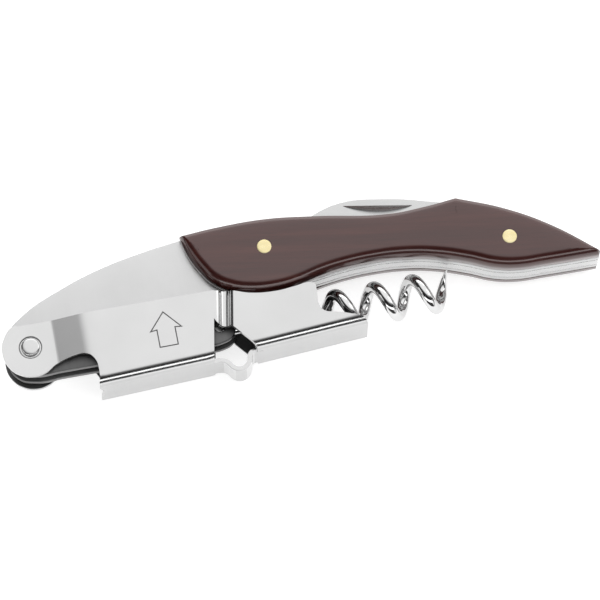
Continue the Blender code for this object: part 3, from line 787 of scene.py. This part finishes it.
def make_lever_rivet():
    """The lever's rivet: a domed stud that stands in a countersunk seat in each ear."""
    face = EAR_HALF
    top = face + STUD_HEIGHT
    half = [(0.0, top), (1.0, top - 0.02), (1.52, top - 0.06), (1.74, top - 0.16), (1.84, top - 0.32),
            (1.84, face - 0.36), (2.1, face - 0.38), (2.1, face - 0.46), (1.56, face - 0.56)]
    stud = turned("lever_rivet_stud", both_halves(half), LEVER_PIVOT)
    dress(stud, STEEL_EDGE, "handle", "polished", "lever_rivet")


# ---------------------------------------------------------------- lever

def groove_stations(steps=9):
    """X and inward depth across one half of the groove, from its deepest line to the flat wall."""
    total = (GROOVE_REACH ** 2 + GROOVE_DEPTH ** 2) / (2 * GROOVE_DEPTH)
    bottom = total - GROOVE_SHOULDER
    sweep = math.asin(GROOVE_REACH / total)
    angles = [sweep * i / steps for i in range(steps + 1)]
    half = [(bottom * math.sin(a), GROOVE_DEPTH - bottom * (1 - math.cos(a))) for a in angles]
    half += [(GROOVE_REACH - GROOVE_SHOULDER * math.sin(a), GROOVE_SHOULDER * (1 - math.cos(a)))
             for a in reversed(angles[:-1])]
    return half


def web_height(x):
    """Y of the web's outer face, which steps in a little past the lip rest."""
    if x < (STEP_FOOT[0] + WINDOW_END) / 2:
        return -11.7 + 0.034 * (x + 43.0)
    return -10.18 + 0.06 * (x - WINDOW_END)


def joggle(t):
    """Rise of the joggle behind the ears: a crisp start, a straight slope and a slow finish."""
    start, bend = 0.06, 0.62
    whole = start / 2 + (bend - start) + (1 - bend) / 2
    if t < start:
        rise = t * t / (2 * start)
    elif t < bend:
        rise = start / 2 + (t - start)
    else:
        rise = whole - (1 - t) ** 2 / (2 * (1 - bend))
    return rise / whole


def channel_stations():
    """Along the lever: x, half the outer width there, and Y of the web's outer face."""
    face = LEVER_HALF - LEVER_SKIN
    rows = [(-62.0, EAR_HALF)]
    for i in range(31):
        t = i / 30
        rows.append((JOGGLE[0] + (JOGGLE[1] - JOGGLE[0]) * t, EAR_HALF + (face - EAR_HALF) * joggle(t)))
    rows += [(x, face) for x in (-36.0, -28.0, STEP_FOOT[0] - 1.2)]
    groove = groove_stations()
    rows += [(GROOVE_X - x, face - depth) for x, depth in reversed(groove)]
    rows += [(GROOVE_X + x, face - depth) for x, depth in groove[1:]]
    rows += [(-9.0, face), (-2.0, face), (6.0, face), (14.0, face)]
    return [(x, half, web_height(x)) for x, half in rows]


def channel_section(half, web, steps=10):
    """Half of the folded section from its top edge, down a wall and round the bend to the web."""
    points = [(half, 7.0)]
    for i in range(steps + 1):
        angle = math.pi / 2 * i / steps
        points.append((half - BEND_RADIUS * (1 - math.cos(angle)), web + BEND_RADIUS * (1 - math.sin(angle))))
    return points


def make_channel():
    """The folded sheet before it is trimmed: a loft of one section along the lever, with the groove."""
    work = bmesh.new()
    rows = []
    for x, half, web in channel_stations():
        wall = channel_section(half, web)
        ring = [(y, z) for z, y in wall] + [(y, -z) for z, y in reversed(wall)]
        lean = GROOVE_LEAN if abs(x - GROOVE_X) < GROOVE_REACH + 0.1 else 0.0
        rows.append([work.verts.new(place(x + lean * (y - GROOVE_LEVEL), y, z)) for y, z in ring])
    for row, following in zip(rows, rows[1:]):
        for i in range(len(row) - 1):
            work.faces.new((row[i], row[i + 1], following[i + 1], following[i]))
    channel = mesh_object("lever_sheet", work)
    shell = channel.modifiers.new("sheet", "SOLIDIFY")
    shell.thickness = SHEET * MM
    shell.offset = -1.0
    shell.use_even_offset = True
    apply_modifiers(channel)
    return channel


def block(name, loop, low, high):
    """A sharp-edged plate, used to trim the lever."""
    return plate(name, loop, [], [(low, 0.0), (high, 0.0)])


def lever_side_outline():
    """Side view of the lever: ears, cap lifter, top edge, and the sloping lip at the free end."""
    px, py = EAR_CENTRE
    ear = [(px + EAR_RADIUS * math.cos(math.radians(a)), py + EAR_RADIUS * math.sin(math.radians(a)), "s")
           for a in (118, 150, 180, 210, 240, 270, 292)]
    lifter = [(-50.3, -5.3, "s"), (-47.0, -4.5, "s"), (-44.3, -4.6, "s"), (-42.7, -6.2, "s"),
              (-42.3, -8.6, "s"), (-42.9, -12.0, "c")]
    under = [(-42.9, -16.0, "c"), (LEVER_END + 0.2, -16.0, "c")]
    lip = [(LEVER_END, -8.9, "c"), (11.6, -7.9, "s"), (9.2, -6.75, "s"), (6.1, -5.75, "s"), (4.2, -5.2, "s"),
           (3.35, -4.2, "s"), (3.3, -0.4, "s"), (3.2, 0.8, "s"), (2.3, 1.25, "s")]
    top = [(-1.0, 1.0, "s"), (-4.5, 0.75, "s"), (-9.7, 1.3, "s"), (-13.0, 2.4, "s"), (-14.6, 2.95, "c"),
           (-16.6, LEVER_TOP - 0.2, "c"), (-17.4, LEVER_TOP, "c"), (-56.6, LEVER_TOP + 0.45, "c")]
    return ear + lifter + under + lip + top


def window_outline():
    return [(-17.95, -2.5, "c"), (-17.3, -3.6, "s"), (-16.2, -4.2, "s"), (-14.8, -4.4, "c"),
            (WINDOW_END, -9.4, "c"), (WINDOW_END, -16.0, "c"), (-20.4, -16.0, "c"), (*STEP_FOOT, "c")]


def tongue_line(steps=14):
    """Centre line of the looped tongue as (x, y, heading): in from one web, round, and up to the other."""
    left_y = web_height(STEP_FOOT[0]) + SHEET / 2
    right_y = web_height(WINDOW_END) + SHEET / 2
    line = [(STEP_FOOT[0] - 1.2, left_y, 0.0)]
    for side, reach, depth in ((-1, TONGUE_REACH[0], TONGUE_DEPTH),
                               (1, TONGUE_REACH[1], TONGUE_DEPTH + right_y - left_y)):
        total = (reach ** 2 + depth ** 2) / (2 * depth)
        shoulder = total - TONGUE_CREST
        sweep = math.acos(1 - depth / total)
        base = left_y if side < 0 else right_y
        angles = [sweep * i / steps for i in range(steps + 1)]
        outer = [(TONGUE_X + side * (reach - shoulder * math.sin(a)),
                  base - shoulder * (1 - math.cos(a)), side * a) for a in angles]
        crest = [(TONGUE_X + side * TONGUE_CREST * math.sin(a),
                  base - depth + TONGUE_CREST * (1 - math.cos(a)), side * a) for a in reversed(angles[:-1])]
        half = outer + crest
        line += half if side < 0 else list(reversed(half))[1:]
    line.append((WINDOW_END + 1.2, right_y, 0.0))
    return line


def tongue_loop():
    """The tongue's edge view: its centre line thickened, a little thinner than the sheet it joins."""
    thick = SHEET / 2 - 0.04
    line = tongue_line()
    left = [(x - thick * math.sin(h), y + thick * math.cos(h)) for x, y, h in line]
    right = [(x + thick * math.sin(h), y - thick * math.cos(h)) for x, y, h in line]
    return np.array(right + list(reversed(left)))


def make_lever():
    """The stamped lever: a folded channel trimmed to its side view, with its window, tongue and holes."""
    lever = make_channel()
    combine(lever, block("side_view", outline_loop(lever_side_outline()), -TRIM_HALF, TRIM_HALF), "INTERSECT")
    combine(lever, block("window", outline_loop(window_outline()), -9.5, 9.5), "DIFFERENCE")
    combine(lever, block("tongue", tongue_loop(), -TONGUE_HALF, TONGUE_HALF), "UNION")
    seat = [(0.0, TRIM_HALF), (COUNTERSINK_RADIUS, TRIM_HALF), (COUNTERSINK_RADIUS, EAR_HALF),
            (COUNTERSINK_RADIUS - 0.12, EAR_HALF - COUNTERSINK_DEPTH),
            (LEVER_RIVET_RADIUS + 0.2, EAR_HALF - COUNTERSINK_DEPTH - 0.02),
            (LEVER_RIVET_RADIUS + 0.2, 0.0)]
    seat += [(r, -z) for r, z in reversed(seat[:-1])]
    combine(lever, turned("rivet_seat", seat, LEVER_PIVOT), "DIFFERENCE")
    bite = turned("bite", both_halves([(0.0, BITE_HALF), (BITE_RADIUS, BITE_HALF)]), (0.0, 0.0), 96)
    turn = Matrix.Translation(place(*BITE_CENTRE)) @ Matrix.Rotation(math.radians(90), 4, "X")
    bite.data.transform(turn @ Matrix.Translation(-place(0.0, 0.0)))
    combine(lever, bite, "DIFFERENCE")
    soften(lever, EDGE)
    lever.name = "lever_channel"
    dress(lever, STEEL_LEVER, "lever", "steel", "lever")
    # second slot: painted shade, the dark steel on the inside faces
    lever.data.materials.append(STEEL_SHADED_INSIDE)
    # third slot: the web's steel, rougher and darkened with painted shade
    lever.data.materials.append(STEEL_WEB_SHADED)
    axis = place(0.0, -2.0)
    for face in lever.data.polygons:
        toward = Vector((0.0, axis.y - face.center.y, axis.z - face.center.z)).normalized()
        if face.normal.dot(toward) > INSIDE_FACING:
            face.material_index = 1
        elif face.normal.y < -WEB_FACING:
            face.material_index = 2


def make_arrow():
    """A plain outlined arrow on the near wall of the lever, pointing from its web to its top edge."""
    tip, barb_out, barb_in, foot = 0.9, (3.4, -3.05), (1.95, -2.9), -6.55
    left = [(-barb_out[0], barb_out[1]), (-barb_in[0], barb_in[1]), (-barb_in[0], foot)]
    right = [(-x, y) for x, y in reversed(left)]
    outer = np.array([(ARROW_X + x, y) for x, y in [(0.0, tip)] + left + right])
    inner = inset_loop_sharp(outer, ARROW_LINE)
    top = LEVER_HALF - LEVER_SKIN + ARROW_RISE
    work = bmesh.new()
    rings = [[work.verts.new(place(x, y, z)) for x, y in loop]
             for loop, z in ((outer, top - ARROW_DEPTH), (outer, top), (inner, top),
                             (inner, top - ARROW_DEPTH))]
    join_rings(work, rings + rings[:1])
    bmesh.ops.recalc_face_normals(work, faces=work.faces)
    dress(mesh_object("lever_etched_arrow", work), ETCH, "lever", "steel")


def inset_loop_sharp(loop, inset):
    """An anticlockwise loop of straight sides moved inwards, with its corners mitred."""
    ahead = edge_normals(loop)
    mitre = ahead + np.roll(ahead, 1, axis=0)
    mitre /= (mitre * ahead).sum(1)[:, None]
    return loop + mitre * inset


# ---------------------------------------------------------------- worm

def worm_route(per_turn=48):
    """The wire's centre line and radius, from inside the hub to the sharp tip."""
    wx, wy = WORM_PIVOT
    start = WORM_TIP_X - WORM_TURNS * WORM_PITCH
    rows = [(wx + 1.8, wy, 0.0, WORM_WIRE), (wx + 3.0, wy, 0.0, WORM_WIRE), (wx + 4.0, wy, 0.0, WORM_WIRE)]
    steps = int(WORM_TURNS * per_turn)
    for i in range(steps + 1):
        turn = WORM_TURNS * (1 - i / steps)
        along = WORM_TURNS - turn
        x = start + along * WORM_PITCH
        spread = ease((x - WORM_SPREAD[0]) / (WORM_SPREAD[1] - WORM_SPREAD[0]))
        radius = WORM_COIL * ease(along / WORM_START) + WORM_GROWTH * spread
        if turn < WORM_FLARE[0]:
            radius += WORM_FLARE[1] * (1 - turn / WORM_FLARE[0]) ** 2
        thickness = WORM_WIRE * min(1.0, WORM_TAPER[1] + turn / WORM_TAPER[0])
        angle = -2 * math.pi * turn
        rows.append((x, wy - WORM_DROP * spread + radius * math.cos(angle),
                     radius * math.sin(angle), thickness))
    return rows


def make_worm():
    worm = tube("worm_wire", worm_route())
    half = SPRING_HALF - 0.02
    r = HUB_RADIUS
    rim = [(0.0, half), (r - 0.2, half), (r - 0.06, half - 0.06), (r, half - 0.2)]
    hub = turned("hub", both_halves(rim), WORM_PIVOT)
    combine(worm, hub, "UNION")
    bore = turned("bore", [(0.0, 3.0), (WORM_PIN_RADIUS + SNUG, 3.0), (WORM_PIN_RADIUS + SNUG, -3.0),
                           (0.0, -3.0)], WORM_PIVOT)
    combine(worm, bore, "DIFFERENCE")
    worm.data.shade_smooth()
    worm.data.set_sharp_from_angle(angle=math.radians(45))
    dress(worm, POLISHED, "worm", "polished", "worm")


# ---------------------------------------------------------------- blade

def blade_outline():
    px, py = BLADE_PIVOT
    tang = [(px + 3.7 * math.cos(math.radians(a)), py + 3.7 * math.sin(math.radians(a)), "s")
            for a in (-120, -60, 0, 60, 100)]
    back = [(38.6, 9.6, "s"), (34.6, 13.4, "s"), (28.0, 15.9, "s"), (20.0, 17.8, "s"), (12.5, 18.55, "s"),
            (6.5, 17.2, "s"), (2.4, 14.9, "s"), (0.9, 13.0, "c")]
    edge = [(8.0, 11.3, "s"), (18.0, 9.0, "s"), (28.0, 6.9, "s"), (35.0, 3.9, "s"), (39.3, 1.0, "s")]
    return tang + back + edge


def grind_cutter(label, side):
    """A wedge that grinds one side of the blade down to its edge."""
    line = [(0.2, 12.4), (8.0, 10.6), (18.0, 8.3), (28.0, 6.2), (34.0, 3.7)]
    outside = BLADE_HALF + 1.2
    rings = []
    for x, y in line:
        profile = [(y + 3.1, BLADE_HALF + 0.02), (y + 3.1, outside), (y - 1.0, outside),
                   (y - 1.0, -0.05), (y + 0.6, 0.07)]
        rings.append([(x, yy, side * z) for yy, z in profile])
    return capped_loft(f"grind_{label}", rings)


def nail_scoop():
    """Cutter for the nail notch: a floor that sinks from a straight top edge to an upright lower side."""
    left, right = Vector((12.4, 17.75)), Vector((26.1, 15.3))
    across = (right - left).normalized()
    down = Vector((across.y, -across.x))
    steps = 28
    rings = []
    for i in range(steps + 1):
        t = i / steps
        bulge = math.sin(math.pi * (0.012 + 0.976 * t)) ** 0.8
        top = left.lerp(right, t)
        rings.append([(*(top + down * out), z) for out, z in (
            (0.0, BLADE_HALF + 0.4), (0.0, BLADE_HALF), (0.4 * bulge, BLADE_HALF - 0.30 * bulge),
            (0.85 * bulge, BLADE_HALF - 0.53 * bulge), (1.35 * bulge, BLADE_HALF - 0.70 * bulge),
            (1.85 * bulge, BLADE_HALF - 0.78 * bulge), (2.0 * bulge, BLADE_HALF),
            (2.0 * bulge, BLADE_HALF + 0.4))])
    return capped_loft("scoop", rings)


def make_blade():
    """The foil blade: satin flats ground to an edge, and a scooped nail notch."""
    holes = [(BLADE_PIVOT, SCALE_PIN_RADIUS + SNUG)]
    blade = plate("foil_blade", outline_loop(blade_outline()), holes,
                  flat_levels(-BLADE_HALF, BLADE_HALF, 0.08))
    for label, side in (("near", 1), ("far", -1)):
        combine(blade, grind_cutter(label, side), "DIFFERENCE")
    combine(blade, nail_scoop(), "DIFFERENCE")
    blade.data.shade_smooth()
    blade.data.set_sharp_from_angle(angle=math.radians(30))
    dress(blade, STEEL_BLADE, "blade", "polished", "blade")


# ---------------------------------------------------------------- stage

CAMERA_AZIMUTH = math.radians(-11.0)
CAMERA_ELEVATION = math.radians(73.0)
CAMERA_DISTANCE = 0.75         # in metres
FRAME_WIDTH = 0.121            # width of the view at the object, in metres
DOME_LEAN = (0.45, 0.6, 1.0)   # the dome is brightest towards this direction
DOME_SCALE = 0.8               # makes the brightest direction come to 1
DOME_STRENGTH = 1.25
DOME_STOPS = [(0.40, grey(0.015)), (0.55, grey(0.05)), (0.625, grey(0.20)), (0.70, grey(0.62)),
              (0.78, grey(1.0))]
LOW_STOPS = [(0.0, grey(0.045)), (0.30, grey(0.045)), (0.42, grey(0.015))]  # by height above the horizon

# Name, place, size, brightness, and whether it shows in reflections
LIGHTS = [
    ("overhead", (0.1, 0.1, 1.4), (1.4, 1.4), 0.9, False),
    ("front_strip", (0.0, -0.95, 0.64), (2.2, 0.28), 2.3, True),
    ("front_left_panel", (-0.95, -0.75, 0.30), (0.7, 0.5), 0.75, True),
    ("front_right_panel", (0.95, -0.75, 0.30), (0.7, 0.5), 0.9, True),
    ("back_panel", (0.1, 1.0, 0.72), (1.6, 0.34), 1.6, True),
    ("right_panel", (1.1, 0.15, 0.55), (0.6, 0.9), 1.1, True),
    ("left_panel", (-1.1, -0.15, 0.50), (0.6, 0.5), 1.0, True),
]


def make_camera():
    flat = math.cos(CAMERA_ELEVATION)
    toward = Vector((math.sin(CAMERA_AZIMUTH) * flat, -math.cos(CAMERA_AZIMUTH) * flat,
                     math.sin(CAMERA_ELEVATION)))
    target = place(0.0, 0.0)
    data = bpy.data.cameras.new("camera")
    data.sensor_width = 36.0
    data.lens = data.sensor_width * CAMERA_DISTANCE / FRAME_WIDTH
    data.clip_start = 0.01
    camera = bpy.data.objects.new("camera", data)
    camera.location = target + toward * CAMERA_DISTANCE
    camera.rotation_euler = (-toward).to_track_quat("-Z", "Y").to_euler()
    bpy.context.scene.collection.objects.link(camera)
    bpy.context.scene.camera = camera


def make_floor():
    bpy.ops.mesh.primitive_plane_add(size=6.0, location=(0.0, 0.0, CAD_BOX[0][2] - 0.0001))
    floor = bpy.context.active_object
    floor.name = "floor"
    floor.data.materials.append(FLOOR)


def make_world():
    """A soft dome, white overhead and towards the back right, and almost dark low down and at the left."""
    world = bpy.data.worlds.new("studio")
    bpy.context.scene.world = world
    world.use_nodes = True
    nodes, links = world.node_tree.nodes, world.node_tree.links
    where = nodes.new("ShaderNodeTexCoord")
    lean = nodes.new("ShaderNodeVectorMath")
    lean.operation = "DOT_PRODUCT"
    lean.inputs[1].default_value = DOME_LEAN
    links.new(where.outputs["Generated"], lean.inputs[0])
    level = nodes.new("ShaderNodeMath")
    level.operation = "MULTIPLY"
    level.inputs[1].default_value = DOME_SCALE
    links.new(lean.outputs["Value"], level.inputs[0])
    height = nodes.new("ShaderNodeSeparateXYZ")
    links.new(where.outputs["Generated"], height.inputs["Vector"])
    low = ramp(nodes, links, height.outputs["Z"], LOW_STOPS)
    lighter = nodes.new("ShaderNodeMix")
    lighter.data_type = "RGBA"
    lighter.blend_type = "LIGHTEN"
    lighter.inputs["Factor"].default_value = 1.0
    links.new(ramp(nodes, links, level.outputs["Value"], DOME_STOPS), lighter.inputs["A"])
    links.new(low, lighter.inputs["B"])
    links.new(lighter.outputs["Result"], nodes["Background"].inputs["Color"])
    nodes["Background"].inputs["Strength"].default_value = DOME_STRENGTH


def area_light(name, location, size, brightness, mirrored):
    """A flat light of a given brightness. Only a mirrored one shows in the object's reflections."""
    data = bpy.data.lights.new(name, "AREA")
    data.shape = "RECTANGLE"
    data.size, data.size_y = size
    data.energy = brightness * math.pi * size[0] * size[1]
    light = bpy.data.objects.new(name, data)
    light.location = location
    light.rotation_euler = (Vector(location) * -1).to_track_quat("-Z", "Y").to_euler()
    light.visible_glossy = mirrored
    bpy.context.scene.collection.objects.link(light)


make_camera()
make_floor()
make_world()
for light_row in LIGHTS:
    area_light(*light_row)
make_liners()
make_scales()
make_front_spacer()
make_backspring()
make_pins()
make_washers()
make_lever_rivet()
make_lever()
make_arrow()
make_worm()
make_blade()
bpy.context.scene.view_settings.view_transform = "Standard"
